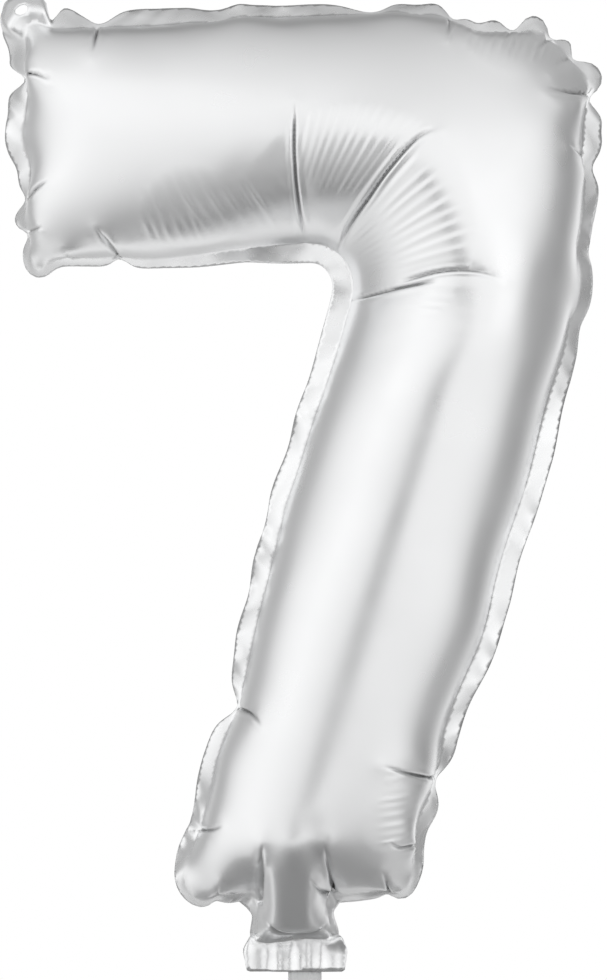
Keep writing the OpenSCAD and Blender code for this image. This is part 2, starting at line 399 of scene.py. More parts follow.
def smoothed(places, edges, weight, rounds):
    """Moves each point towards the mean of its neighbours, as far as its weight says."""
    a, b = edges.T
    count = len(places)
    degree = np.bincount(a, minlength=count) + np.bincount(b, minlength=count)
    weight = (weight * (degree > 0))[:, None]
    degree = np.maximum(degree, 1)[:, None]
    for _ in range(rounds):
        total = np.stack(
            [np.bincount(a, places[b, k], count) + np.bincount(b, places[a, k], count)
             for k in range(3)], 1)
        places = places + weight * (total / degree - places)
    return places


def normals_of(places, faces):
    """The surface's direction at each point."""
    a, b, c = corners_of(places, faces)
    face_normal = np.cross(b - a, c - a)
    total = np.stack(
        [sum(np.bincount(faces[:, j], face_normal[:, k], len(places)) for j in range(3))
         for k in range(3)], 1)
    return total / np.maximum(lengths(total), 1e-9)[:, None]


def flat_tree(points, faces):
    """A search tree over a mesh that lies flat, from its (x, z) points."""
    return BVHTree.FromPolygons([(x, z, 0.0) for x, z in points], faces.tolist())


def carried(cut, places, fine):
    """Where a finer cut's or a strip's points lie, read off a film."""
    tree = flat_tree(cut.flat, cut.faces)
    found = [tree.find_nearest((x, z, 0.0))[2] for x, z in fine.flat]
    faces = cut.faces[found]
    a, b, c = corners_of(cut.flat, faces)
    area = twice_area(a, b, c)
    share = np.stack([twice_area(fine.flat, b, c) / area, twice_area(fine.flat, c, a) / area], 1)
    share = np.column_stack([share, 1 - share.sum(1)])
    return sum(places[faces[:, k]] * share[:, k:k + 1] for k in range(3))


# ---- folds pressed into the film
# Half width of the painted shade, a dark line in the foil's colour at the bottom of a crease
PAINTED_SHADE_HALF = 0.55


def curve_through(points, steps=12):
    """A Catmull-Rom curve through the points."""
    p = np.array(points, float)
    p = np.vstack([2 * p[0] - p[1], p, 2 * p[-1] - p[-2]])
    result = []
    for i in range(1, len(p) - 2):
        for t in np.arange(steps) / steps:
            result.append(0.5 * (
                2 * p[i] + (p[i + 1] - p[i - 1]) * t
                + (2 * p[i - 1] - 5 * p[i] + 4 * p[i + 1] - p[i + 2]) * t ** 2
                + (3 * p[i] - p[i - 1] - 3 * p[i + 1] + p[i + 2]) * t ** 3))
    return np.array(result + [p[-2]])


def along_curve(spots, curve):
    """Signed distance of each spot from a curve, and how far along it lies, from 0 to 1."""
    best = np.full(len(spots), 1e9)
    signed = np.zeros(len(spots))
    run = np.zeros(len(spots))
    each = lengths(np.diff(curve, axis=0))
    total = each.sum()
    start = 0.0
    for p, q, length in zip(curve[:-1], curve[1:], each):
        d = (q - p) / length
        t = np.clip((spots - p) @ d, 0, length)
        off = spots - p - t[:, None] * d
        far = lengths(off)
        near = far < best
        side = np.sign(off[:, 1] * d[0] - off[:, 0] * d[1])
        best[near] = far[near]
        signed[near] = (far * side)[near]
        run[near] = ((start + t) / total)[near]
        start += length
    return signed, run


def crease(spots, points, depth, sharp, wide, grow, fade):
    """Depth of a groove along a curve: a V of half width sharp in a wide soft dip, with lips.
    It grows in over the first part of the curve and fades over the last."""
    off, run = along_curve(spots, curve_through(points))
    off = np.abs(off)
    reach = (smoothstep(run, 0, grow) if grow > 0 else 1.0) * (1 - smoothstep(run, 1 - fade, 1))
    line = np.maximum(0, 1 - off / sharp)
    dip = np.exp(-(off / wide) ** 2)
    lip = np.exp(-((off - 1.8 * sharp) / (0.9 * sharp)) ** 2)
    # Painted shade: a dark line in the foil's colour along the bottom of the groove
    shade = reach * np.exp(-(off / PAINTED_SHADE_HALF) ** 2)
    return depth * reach * (0.75 * line + 0.35 * dip - 0.14 * lip), shade * min(1.0, depth / 2)


def fan(spots, centre, angles, radii, spacing, height):
    """Fine ridges that run out from a centre between two angles and two radii."""
    off = spots - np.array(centre)
    radius = lengths(off)
    angle = np.degrees(np.arctan2(off[:, 1], off[:, 0]))
    phase = 2 * np.pi * (angle - angles[0]) / spacing
    phase = phase + 0.35 * np.sin(phase * 0.31 + radius * 0.09) + 0.25 * np.sin(radius * 0.21)
    wave = np.sin(phase) + 0.3 * np.sin(2 * phase + 0.6)
    strength = 0.75 + 0.25 * np.sin(phase * 0.43 + 1.1)
    inner = radii[0] + 2.5 * np.sin(phase * 0.37)
    outer = radii[1] + 2.5 * np.sin(phase * 0.53 + 2.0)
    band = smoothstep(radius, inner, inner + 9) * (1 - smoothstep(radius, outer - 8, outer + 1))
    soft = (angles[1] - angles[0]) * 0.12
    sweep = smoothstep(angle, angles[0] - soft / 2, angles[0] + soft)
    sweep = sweep * (1 - smoothstep(angle, angles[1] - soft, angles[1] + soft / 2))
    return height * wave * strength * band * sweep


def strokes(spots, heading, spacing, height, box, soft):
    """Parallel ridges along a heading, inside a soft-edged box (x low, x high, z low, z high)."""
    turn = math.radians(heading)
    across = -spots[:, 0] * math.sin(turn) + spots[:, 1] * math.cos(turn)
    length = spots[:, 0] * math.cos(turn) + spots[:, 1] * math.sin(turn)
    phase = 2 * np.pi * across / spacing
    phase = phase + 0.8 * np.sin(phase * 0.27 + 0.4) + 0.3 * np.sin(length * 0.15)
    wave = np.sin(phase) + 0.25 * np.sin(2 * phase + 1.0)
    strength = 0.7 + 0.3 * np.sin(phase * 0.41 + 0.7)
    reach = window(spots[:, 0], *box[:2], soft) * window(spots[:, 1], *box[2:], soft)
    return height * wave * strength * reach


# The long creases that run out of the crook and across the neck: points (x, z) on the
# placed film, depth, half width of the V and width of the soft dip
CREASES = [
    ([(98.5, -34), (98, -48), (98.5, -61), (100, -73), (102.5, -84)], 2.2, 0.9, 5.5),
    ([(150, -44), (142, -48), (132, -59), (124, -70), (117, -80), (113, -89)], 2.4, 0.9, 5.5),
    ([(117, -105), (128, -102.5), (138, -100.5), (150, -98.5)], 1.9, 0.8, 4.0),
    ([(134, -99.5), (147, -96), (156, -95), (165, -95.5), (173, -98)], 1.7, 0.7, 3.5),
    ([(88, -327), (92, -331.6), (99, -332.8), (106, -332), (111, -328)], 1.2, 0.7, 1.6),
]
# Over which shares of their length they grow in and fade
CREASE_ENDS = (0.25, 0.3)
# Short creases that pinch the seam: from the seam inwards, with a depth
PINCHES = [
    ([(27.5, -6.5), (26.8, -11), (26, -17)], 2.2),
    ([(154, -3.5), (153.5, -7), (153, -11)], 1.2),
    ([(164, -2.5), (163, -6), (161.5, -9.5)], 0.9),
    ([(177, -5), (175, -9), (172.5, -12.5)], 1.0),
    ([(191, -8.5), (187.5, -12.5), (184, -16)], 1.2),
    ([(199, -15.5), (195, -18.5), (190, -21)], 1.0),
    ([(204, -30), (197, -30), (188, -29)], 2.2),
    ([(206.5, -55), (201, -52), (195, -48)], 1.3),
    ([(148.5, -276.5), (140, -274.5), (129, -271)], 3.0),
    ([(142.5, -300.5), (136, -301), (131, -298)], 1.6),
    ([(132.5, -319.5), (131.5, -314), (129.5, -309)], 1.9),
    ([(78, -251), (82.5, -253), (87, -257.5)], 2.6),
    ([(64.5, -295), (68.5, -294.5), (73, -293)], 1.8),
    ([(70.5, -321.5), (70.5, -318), (71, -314)], 1.2),
    ([(85.4, -321), (85.8, -313), (86.4, -306), (87.2, -298)], 3.6),
    ([(113, -321), (111.8, -314), (110.4, -307), (108.6, -298)], 2.8),
    ([(112, -319.5), (107.5, -316), (103, -311)], 1.5),
    ([(2, -23.5), (6, -24), (12, -26.5)], 2.0),
    ([(2.5, -67.5), (5, -65), (11, -61.5)], 2.0),
    ([(2, -80), (6, -79), (10, -78.5)], 1.3),
    ([(35, -89.5), (31.5, -84.5), (27, -78)], 1.7),
    ([(17.5, -94), (16.8, -90), (16.5, -86)], 1.1),
]
# Their half width of the V, width of the soft dip and the same two shares
PINCH_SHAPE = (0.8, 3.2, 0.0, 0.9)
# Fans of fine ridges: centre, angles, radii, degrees between two ridges, and height
FANS = [
    ((89, -110), (47, 84), (46, 87), 2.6, 0.10), ((98, -103), (12, 56), (26, 69), 4.0, 0.12),
]
# Parallel ridges: heading, spacing, height, box they lie in and half width of its soft edge
STROKES = [
    (-5, 3.6, 0.08, (140, 170, -116, -102), 5), (-57, 4.4, 0.16, (45, 94, -75, -64), 7),
    (-66, 3.4, 0.10, (26, 70, -84, -76), 5), (6, 3.2, 0.12, (130, 139, -302, -275), 4),
    (66, 3.0, 0.14, (152, 190, -17, -5), 4), (95, 3.4, 0.08, (84, 97, -44, -32), 4),
]
# How far the fine ridges of the back sheet lie from the front's
BACK_SHIFT = (1.5, 2.0)
# How the welded margin lies, at spots round the seam: how far it leans back, in degrees,
# and how high it is crumpled
MARGIN_LIE = [
    (5, -8, 36, 0.2), (20, -6, 54, 0.5), (60, -4, 56, 0.7), (100, -2, 56, 0.7),
    (135, -1, 64, 0.5), (165, -3, 44, 0.4), (190, -9, 49, 0.4), (203, -25, 44, 0.4),
    (205, -50, 36, 0.4), (204, -75, 60, 0.6), (199, -105, 56, 0.4), (180, -170, 8, 0.3),
    (168, -210, 8, 0.6), (152, -262, 40, 0.8), (145, -290, 41, 1.8), (137, -313, 66, 2.2),
    (122, -320, 64, 1.0), (86, -322, 64, 1.0), (70, -320, 66, 1.8), (62, -300, 58, 2.6),
    (70, -270, 48, 1.1), (82, -240, 44, 1.1), (98, -185, 36, 1.4), (106, -150, 30, 1.1),
    (113, -120, 12, 0.2), (116, -98, 0, 0.1), (105, -87, 0, 0.1), (80, -85, 48, 0.3),
    (50, -87, 64, 0.4), (20, -93, 68, 0.6), (4, -92, 72, 0.9), (2, -78, 70, 0.9),
    (1, -45, 40, 1.0), (2, -15, 58, 0.6),
]
# Where the margin is folded down to the seam, with how far the fold reaches along it
NOTCHES = [
    (9, -6.5, 3), (27.5, -6.5, 7), (126, -1.5, 9), (154, -3.5, 5), (164, -2.5, 4), (177, -5, 4),
    (191, -8.5, 4), (199, -15.5, 4), (204, -30, 4), (206.5, -55, 5), (148.5, -276.5, 6),
    (132.5, -319, 3), (78, -251, 7), (70.5, -321.5, 3),
    (2, -23.5, 4), (2.5, -67.5, 4), (2, -80, 3), (35, -89.5, 4),
]
# How much of the margin's width is left there
NOTCH_LEFT = 0.08
# The neck's bulge: a ramp down to the seam, level across. Its middle, half width, the
# heights where it starts and ends and the half thickness there
BULGE_MIDDLE, BULGE_HALF = 98.8, 12.0
BULGE_TOP, BULGE_END = (-296.0, 27.8), (-333.0, 9.0)
# Where the tight film bulges more or less than the simulation has it, as (x, z) on the
# placed film, a move (x, z) and how far that move reaches
BULGES = [
    (6, -22, -5.2, 1.2, 11), (7, -70, -5.8, 0.0, 13), (14, -93, -1.5, 0.8, 14),
    (30, -89, 0.0, 0.6, 12), (104, -85, -0.5, -0.6, 12), (116, -106, -0.5, 0.0, 16),
    (106, -148, -0.8, 0.0, 20), (86, -215, -1.6, 0.0, 22), (72, -268, -2.2, 0.0, 15),
    (62, -316, 2.2, 1.4, 10), (197, -12, -0.2, -3.2, 13), (207, -34, 1.8, 0.0, 14),
    (207, -58, 2.6, 0.0, 18), (203, -98, -2.6, 0.0, 20), (192, -140, -1.0, 0.0, 20),
    (164, -225, 3.2, 0.0, 22), (147, -277, 3.0, 0.0, 13), (144, -301, 3.2, 0.0, 10),
    (27, -6, -0.3, 0.6, 12), (75, -3, 0.0, 0.9, 22), (155, -3, 0.4, 1.2, 13),
    (106, -316, 1.6, 0.0, 8),
]


def near_spot(places, x, z, reach):
    """1 at the spot (x, z), falling to 0 round it."""
    return np.exp(-(lengths(places[:, [0, 2]] - np.array([x, z])) / reach) ** 2)


def settled(places):
    """The film with those small moves in its own plane."""
    result = places.copy()
    for x, z, move_x, move_z, reach in BULGES:
        share = near_spot(places, x, z, reach)
        result[:, 0] += move_x * share
        result[:, 2] += move_z * share
    return result


def neck_bulge(places, turn):
    """One sheet with the neck's bulge laid out; turn is -1 for the front, 1 for the back."""
    off = np.abs(places[:, 0] - BULGE_MIDDLE)
    run = (BULGE_TOP[0] - places[:, 2]) / (BULGE_TOP[0] - BULGE_END[0])
    fall = np.maximum(run, 0) ** 2 / (np.maximum(run, 0) + 0.3) * 1.3
    thick = BULGE_TOP[1] + (BULGE_END[1] - BULGE_TOP[1]) * fall
    thick = thick * (1 - 0.2 * (off / BULGE_HALF) ** 2)
    weight = (1 - smoothstep(off, 3.0, BULGE_HALF + 1)) * smoothstep(run, -0.3, 0.3)
    weight *= 1 - smoothstep(run, 0.9, 1.03)
    result = places.copy()
    result[:, 1] = places[:, 1] * (1 - weight) + turn * thick * weight
    return result


def turned_tangents(loop):
    """Direction of a closed loop of (x, z) points at each point, evened out."""
    along = np.roll(loop, -3, axis=0) - np.roll(loop, 3, axis=0)
    even = sum(np.roll(along, k, axis=0) for k in range(-4, 5))
    return np.arctan2(even[:, 1], even[:, 0])


def margin_feet(cut, places, at):
    """For margin points: how far round the seam each lies, in seam points, where its foot on
    the placed seam is, its direction away from there and its distance on the flat cut."""
    seam = cut.seam
    count = len(seam)
    seam_at = np.where(cut.on_seam)[0]
    far = lengths(cut.flat[seam_at][None] - seam[:, None])
    loop = places[seam_at[far.argmin(axis=1)]]
    turn = turned_tangents(loop[:, [0, 2]]) - turned_tangents(seam)
    turn = (turn + math.pi) % (2 * math.pi) - math.pi
    share = along_curve(cut.flat[at], np.vstack([seam, seam[:1]]))[1] * count
    low = np.floor(share).astype(int) % count
    high = (low + 1) % count
    part = (share - np.floor(share))[:, None]
    foot = loop[low] * (1 - part) + loop[high] * part
    away = cut.flat[at] - (seam[low] * (1 - part) + seam[high] * part)
    width = lengths(away)
    cos, sin = np.cos(turn[low]), np.sin(turn[low])
    away = np.stack([away[:, 0] * cos - away[:, 1] * sin, away[:, 0] * sin + away[:, 1] * cos], 1)
    return loop, share, foot, away / np.maximum(width, 1e-6)[:, None], width


def margin_lie(loop, share):
    """How far the margin leans back and how high it is crumpled, between the known spots."""
    spots = np.array(MARGIN_LIE, float)
    nearest = [lengths(loop[:, [0, 2]] - p).argmin() for p in spots[:, :2]]
    order = np.argsort(nearest)
    known = np.array(nearest)[order]
    known = np.concatenate([known - len(loop), known, known + len(loop)])
    return (np.interp(share, known, np.tile(spots[order, k], 3)) for k in (2, 3))


def tab_curl(width):
    """How far out and back the tab lies at a width: forward off the seam, then back past the
    hole."""
    steps = np.linspace(0, 20, 201)
    curl = np.radians(-22 + 74 * smoothstep(steps, 3.5, 7.5))
    return (np.interp(width, steps, np.cumsum(f(curl)) * 0.1) for f in (np.cos, np.sin))


def margin_shape(cut, places, drop):
    """Lays the welded margin in lobes that lean back from the seam between the pinches."""
    at = np.where(~cut.inner & ~cut.on_seam & (drop == 0))[0]
    loop, share, foot, away, width = margin_feet(cut, places, at)
    lean, crumple = margin_lie(loop, share)
    lean = np.radians(lean)
    fold = np.ones(len(at))
    for x, z, reach in NOTCHES:
        fold *= 1 - (1 - NOTCH_LEFT) * near_spot(foot, x, z, reach)
    # The crumples are two waves, one slow and one quick, that run round the seam
    s = share * lengths(cut.seam[1] - cut.seam[0])
    slow, quick = 0.21 * s + 2.3 * np.sin(0.067 * s), 0.47 * s + 2.4 * np.sin(0.113 * s)
    wave = np.arcsin(np.sin(slow + 0.16 * width)) * 0.9
    wave += np.arcsin(np.sin(quick - 0.35 * width)) * 0.4 * (1 + np.sin(0.13 * s + 2))
    reach = width * fold * (1 + 0.06 * crumple * np.sin(0.23 * s + 0.6))
    bends = [lean * (0.92 + 0.1 * u * width / 12) for u in (0.1, 0.3, 0.5, 0.7, 0.9)]
    out = reach * np.mean(np.cos(bends), axis=0)
    back = reach * np.mean(np.sin(bends), axis=0)
    back += crumple * wave * np.minimum(width / 8, 1.2) * fold
    tab = 1 - smoothstep(lengths(cut.flat[at] - cut.hole), 8, 13)
    tab_out, tab_back = tab_curl(width)
    out = out * (1 - tab) + tab_out * tab
    back = back * (1 - tab) + tab_back * tab
    result = places.copy()
    result[at, 0] = foot[:, 0] + away[:, 0] * out
    result[at, 1] = foot[:, 1] + back
    result[at, 2] = foot[:, 2] + away[:, 1] * out
    return result


def pressed(spots, shift):
    """How far each spot of one sheet is pressed in, in millimetres, and how much painted shade it
    gets.
    """
    depth, shade = np.zeros(len(spots)), np.zeros(len(spots))
    for fold in [(*c, *CREASE_ENDS) for c in CREASES] + [(*p, *PINCH_SHAPE) for p in PINCHES]:
        pushed, dark = crease(spots, *fold)
        depth += pushed
        shade = np.maximum(shade, dark)
    for ridges, shapes in ((fan, FANS), (strokes, STROKES)):
        for shape in shapes:
            depth += ridges(spots + np.array(shift), *shape)
    return depth, shade


# ---- the two film sheets
# Steps of the cut that is simulated, of the final cut, and of its margin, fans and creases
SIM_STEP, SIM_FRAMES = ((2.4, 30))
SHEET_STEP, RIM_STEP = ((2.1, 1.3))
FAN_STEP, TRACK_STEP = ((0.85, 0.38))
# Half the gap between the two films where they are welded, and the thickness of one film
WELD_HALF = 0.05
FILM = 0.12
# The parts of the placed film that need a fine cut: these discs, discs along each pinch,
# and a narrow track along each sharp crease
FINE_DISCS = [((122.0, -76.0), 50.0), ((62.0, -73.0), 19.0), ((98.0, -322.0), 17.0),
              ((134.0, -292.0), 12.0), ((172.0, -9.0), 16.0)]
PINCH_REACH = 4.5
TRACK = 1.25
# No track reaches further than this from its middle
TRACK_REACH = 45
# Round this point of the flat cut, in the crook, the simulated film is evened out: fully up
# to the first distance, and not at all past the second
CROOK = (116.0, -78.0)
CROOK_REACH = (46, 66)


def on_flat(cut, places, spots):
    """Where spots (x, z) of the placed film lie on the flat cut."""
    faces = cut.faces[cut.airy]
    tree = flat_tree(places[:, [0, 2]], faces)
    result = []
    for spot in spots:
        found = tree.find_nearest((*spot, 0.0))
        corners = faces[found[2]]
        share = np.linalg.lstsq(
            np.vstack([places[corners][:, [0, 2]].T, np.ones(3)]),
            np.array([found[0][0], found[0][1], 1.0]), rcond=None)[0]
        result.append(share @ cut.flat[corners])
    return np.array(result)


def fine_zones(cut, front):
    """The margin, the fans and the creases as zones of the flat cut: a step for each, and a
    function of points that is below zero in it."""
    discs = [(on_flat(cut, front, [spot])[0], reach) for spot, reach in FINE_DISCS]
    tracks = [on_flat(cut, front, curve_through(fold[0], 4)) for fold in CREASES + PINCHES]
    for track in tracks[len(CREASES):]:
        discs += [(spot, PINCH_REACH) for spot in track[::3]]
    middle, across, down = neck_end()
    seam = rounded(SEAM)

    def outside(points):
        return np.where(inside(points, seam), 1, -1) * distance_to(points, seam)

    def fine(points):
        off = points - middle
        depth = np.maximum(np.abs(off @ across) - SKIRT_HALF - 2, np.abs(off @ down - 1.2) - 2.6)
        for centre, reach in discs:
            depth = np.minimum(depth, lengths(points - centre) - reach)
        return depth

    def very_fine(points):
        depth = np.full(len(points), 1e9)
        for track in tracks:
            near = lengths(points - track.mean(0)) < TRACK_REACH
            depth[near] = np.minimum(depth[near], np.abs(along_curve(points[near], track)[0]))
        return depth - TRACK

    return [(RIM_STEP, outside), (FAN_STEP, fine), (TRACK_STEP, very_fine)]


def close_film(cut, places):
    """Takes out the rough folds that the coarse film made round the crook."""
    edges = edge_list(cut.faces)[0]
    weight = 0.6 * (1 - smoothstep(lengths(cut.flat - np.array(CROOK)), *CROOK_REACH))
    weight[~cut.inner] = 0
    places = smoothed(places, edges, weight, 60)
    return smoothed(places, edges, np.where(cut.inner, 0.35, 0.0), 2)


def skirt_shape(cut, places):
    """Lays the flat skirt below the neck's end seam in pleats. Also says how far each point
    lies to the side of the neck's middle and, on the skirt, down from the seam."""
    middle, across, down = neck_end()
    off = cut.flat - middle
    side, drop = off @ across, off @ down
    base = places[np.argsort(lengths(off))[:4]].mean(0)
    pleat = 0.32 * np.sin(side * 1.15 + 0.5) + 0.12 * np.sin(side * 2.3 + 1.9)
    pleat += 0.5 * np.sin(side * 0.45 + 0.3)
    pleat *= 0.5 + 0.5 * smoothstep(drop, 2, 12)
    flat = np.stack([base[0] + 0.985 * side, pleat, base[2] - drop], 1)
    here = ~cut.inner & ~cut.on_seam & (drop > 0) & (np.abs(side) < SKIRT_HALF + 3)
    weight = np.where(here, smoothstep(drop, 0, 5), 0.0)[:, None]
    return places * (1 - weight) + flat * weight, side, np.where(here, drop, 0.0)


def unfolded_film():
    """The cut at its final fineness, and where its points lie in the front and back sheets
    before the neck, the margin and the folds are shaped."""
    coarse = Cut(SIM_STEP)
    sheets = inflated(coarse, SIM_FRAMES)
    placed(coarse, *sheets)
    sheets = [close_film(coarse, sheet) for sheet in sheets]
    fine = Cut(SHEET_STEP, fine_zones(coarse, sheets[0]))
    front, back = (carried(coarse, sheet, fine) for sheet in sheets)
    edges, uses = edge_list(fine.faces)
    seam_edges = edges[fine.on_seam[edges].all(axis=1) & (uses == 2)]
    off_seam = np.where(fine.on_seam, 0.0, 0.5)
    for _ in range(2):
        front, back = (smoothed(sheet, edges, off_seam, 9) for sheet in (front, back))
        seam = smoothed(front, seam_edges, np.where(fine.on_seam, 0.4, 0.0), 2)
        front[fine.on_seam] = back[fine.on_seam] = seam[fine.on_seam]
    return fine, settled(front), settled(back)


def make_film():
    """The final cut, where its points lie in the front and back sheets, how much painted shade
    they get in each, and how far each lies to the side and down on the skirt."""
    cut, front, back = unfolded_film()
    margin = ~cut.inner & ~cut.on_seam
    level = np.median(front[cut.on_seam, 1])
    for places, turn in ((front, -1), (back, 1)):
        bulge = neck_bulge(places - [0, level, 0], turn) + [0, level, 0]
        places[cut.inner] = bulge[cut.inner]
    front, side, drop = skirt_shape(cut, front)
    front = margin_shape(cut, front, drop)
    back[margin] = front[margin]
    placed(cut, front, back)
    # Press the folds in. The seam moves inwards with them, the same way in both sheets.
    normals = normals_of(front, cut.faces), normals_of(back, cut.faces[:, ::-1])
    presses, painted_shades = zip(pressed(front[:, [0, 2]], (0, 0)), pressed(back[:, [0, 2]], BACK_SHIFT))
    seam_at, margin_at = np.where(cut.on_seam)[0], np.where(margin)[0]
    away = (normals[0] + normals[1])[seam_at] * [1, 0, 1]
    away /= np.maximum(lengths(away), 1e-9)[:, None]
    seam_move = -away * presses[0][seam_at][:, None]
    for places, normal, press in zip((front, back), normals, presses):
        places[cut.inner] -= (normal * press[:, None])[cut.inner]
        places[seam_at] += seam_move
    # The margin goes with the seam beside it
    far = lengths(cut.flat[margin_at][:, None] - cut.flat[seam_at][None])
    fade = np.exp(-far.min(axis=1) / 5.0)[:, None] * (drop[margin_at] == 0)[:, None]
    front[margin_at] += seam_move[far.argmin(axis=1)] * fade
    back[margin_at] = front[margin_at]
    return cut, front, back, painted_shades, side, drop


def rim_walls(faces, shift):
    """Faces that join the open edges of a sheet to those of its other layer."""
    pairs = sides_of(faces).tolist()
    known = {tuple(p) for p in pairs}
    return [(b, a, a + shift, b + shift) for a, b in pairs if (b, a) not in known]


def shell_object(name, outer, inner, faces, materials, slots=None, shade=None):
    """A closed thin piece: an outer layer, an inner layer and the rims between them."""
    used = np.unique(faces)
    index = np.full(len(outer), -1)
    index[used] = np.arange(len(used))
    faces = index[faces]
    count = len(used)
    walls = rim_walls(faces, count)
    layers = np.vstack([faces, (faces + count)[:, ::-1]])
    mesh = bpy.data.meshes.new(name)
    mesh.from_pydata(
        (np.vstack([outer[used], inner[used]]) * MM).tolist(), [], layers.tolist() + walls)
    mesh.update()
    mesh.polygons.foreach_set("use_smooth", [True] * len(layers) + [False] * len(walls))
    # Painted shade: a point attribute that darkens the foil's colour in its folds
    if shade is not None:
        layer = mesh.attributes.new("painted_fold_shade", "FLOAT", "POINT")
        layer.data.foreach_set("value", np.tile(shade[used], 2).astype(np.float32))
    for material in materials:
        mesh.materials.append(material)
    if slots is not None:
        both = np.concatenate([slots, slots, np.ones(len(walls), int)])
        mesh.polygons.foreach_set("material_index", both.astype(np.int32))
    return added(name, mesh)


# ---- the pieces
# How far each foil stands off the middle at the skirt's mouth
MOUTH = 0.9
# The valve is a flat tube of two clear films. Its middle lies this far to the side of the
# neck's middle, and it hangs from inside the neck down past the skirt's mouth.
valve_low, valve_high = (np.array(v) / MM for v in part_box("valve_front_film"))
tail_low = np.array(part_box("tail_front_film")[0]) / MM
VALVE_SIDE = (valve_low[0] + valve_high[0]) / 2 - FOLD[0]
VALVE_HALF = (valve_high[0] - valve_low[0]) / 2
# Its upper and lower lengths meet here, inside the skirt
VALVE_SPLIT = FOLD[2] - 6.0
# Half the gap between its films, their thickness, and the width of its welded edges
VALVE_GAP = 0.01
VALVE_FILM = 0.035
VALVE_EDGE = 1.3
# Columns of points across the valve and across an edge, and rows away from a fold and at it
VALVE_COLUMNS, EDGE_COLUMNS = 33, 4
ROW, ROW_AT_FOLD = 1.5, 0.25


def moved_back(places, by):
    """The places, moved along Y by one amount or by one for each."""
    result = places.copy()
    result[:, 1] += by
    return result


def foil_sheets(cut, front, back, painted_shades, side, drop, foil, seal):
    """The front and back films of the balloon, each a closed thin shell with its skirt, which
    opens towards its mouth."""
    gap = MOUTH * smoothstep(drop, CROSS_SEAL[1] + 0.5, SKIRT_LONG)
    gap *= 1 - smoothstep(np.abs(side), 6, SKIRT_OPEN_HALF)
    pieces = []
    for name, places, faces, shade in (
            ("front_film", moved_back(front, -gap), cut.faces, painted_shades[0]),
            ("back_film", moved_back(back, gap), cut.faces[:, ::-1], painted_shades[1])):
        normal = normals_of(places, faces)
        pieces.append(shell_object(
            name, places + normal * (WELD_HALF + FILM), places + normal * WELD_HALF,
            faces, [foil, seal], np.where(cut.airy, 0, 1), shade))
    return pieces


def weld_pieces(cut, middle, side, drop, seal):
    """The welded strips between the two films: all round the margin, and across the skirt."""
    skin = normals_of(middle, cut.faces) * (WELD_HALF * 0.9)
    face_side, face_drop = side[cut.faces].mean(1), drop[cut.faces].mean(1)
    unsealed = (drop[cut.faces] > 0).all(axis=1) & (np.abs(face_side) < SKIRT_OPEN_HALF)
    across = unsealed & (face_drop > CROSS_SEAL[0]) & (face_drop < CROSS_SEAL[1])
    across &= np.abs(face_side - VALVE_SIDE) > VALVE_HALF + 0.8
    return [shell_object(name, middle + skin, middle - skin, cut.faces[where], [seal])
            for name, where in (("weld_band", ~cut.airy & ~unsealed), ("cross_weld", across))]


class Strip:
    """A grid of points on the flat film, in rows down from top to bottom."""

    def __init__(self, sides, heights):
        middle, across, down = neck_end()
        self.side, self.z = (a.ravel() for a in np.meshgrid(sides, heights))
        self.x = FOLD[0] + self.side
        self.drop = FOLD[2] + FOLD_ABOVE - self.z
        self.columns, self.rows = len(sides), len(heights)
        on_skirt = np.clip(self.drop, 0.2, SKIRT_LONG - 0.3)
        self.flat = middle + self.side[:, None] * across + on_skirt[:, None] * down

    def faces(self):
        grid = np.arange(self.rows * self.columns).reshape(self.rows, self.columns)
        a, b, c, d = grid[:-1, :-1], grid[:-1, 1:], grid[1:, 1:], grid[1:, :-1]
        return np.vstack([
            np.stack([a, d, b], -1).reshape(-1, 3), np.stack([b, d, c], -1).reshape(-1, 3)])

    def places(self, cut, middle):
        """The strip's points on the middle surface of neck, skirt and tail."""
        beyond = smoothstep(self.drop - SKIRT_LONG, 0, 12)
        y = carried(cut, middle, self)[:, 1] * (1 - 0.4 * beyond)
        y = y + 0.35 * beyond * np.sin(self.side * 0.55 + 0.8)
        return np.stack([self.x, y * smoothstep(self.drop, -8, 0.5), self.z], 1)


def heights_between(top, bottom, fold, step, fine_step):
    """Heights from top to bottom, closer together within 2.5 of a fold."""
    heights = [top]
    while heights[-1] > bottom + 1e-6:
        near = abs(heights[-1] - fold) < 2.5
        heights.append(max(bottom, heights[-1] - (fine_step if near else step)))
    return heights


def valve_part(cut, middle, names, top, bottom, fold, film, weld):
    """Front film, back film and edge welds of one length of the valve."""
    heights = heights_between(top, bottom, fold, ROW, ROW_AT_FOLD)
    strip = Strip(VALVE_SIDE + VALVE_HALF * np.linspace(-1, 1, VALVE_COLUMNS), heights)
    places = strip.places(cut, middle)
    inward = np.minimum(1.0, (VALVE_HALF - np.abs(strip.side - VALVE_SIDE)) / VALVE_EDGE / 2)
    puff = 0.16 * smoothstep(inward, 0.4, 1.0) * smoothstep(strip.drop, 6.5, SKIRT_LONG)
    near = VALVE_GAP + puff
    pieces = []
    for name, turn in zip(names, (-1, 1)):
        pieces.append(shell_object(
            name, moved_back(places, turn * (near + VALVE_FILM)), moved_back(places, turn * near),
            strip.faces()[:, ::-turn], [film]))
    span = np.linspace(VALVE_HALF - VALVE_EDGE, VALVE_HALF - 0.05, EDGE_COLUMNS)
    edges = [Strip(VALVE_SIDE + turn * span[::turn], heights) for turn in (-1, 1)]
    at = np.vstack([edge.places(cut, middle) for edge in edges])
    faces = np.vstack([edge.faces() + k * len(edge.side) for k, edge in enumerate(edges)])
    gap = VALVE_GAP * 0.8
    pieces.append(shell_object(names[2], moved_back(at, -gap), moved_back(at, gap), faces, [weld]))
    return pieces


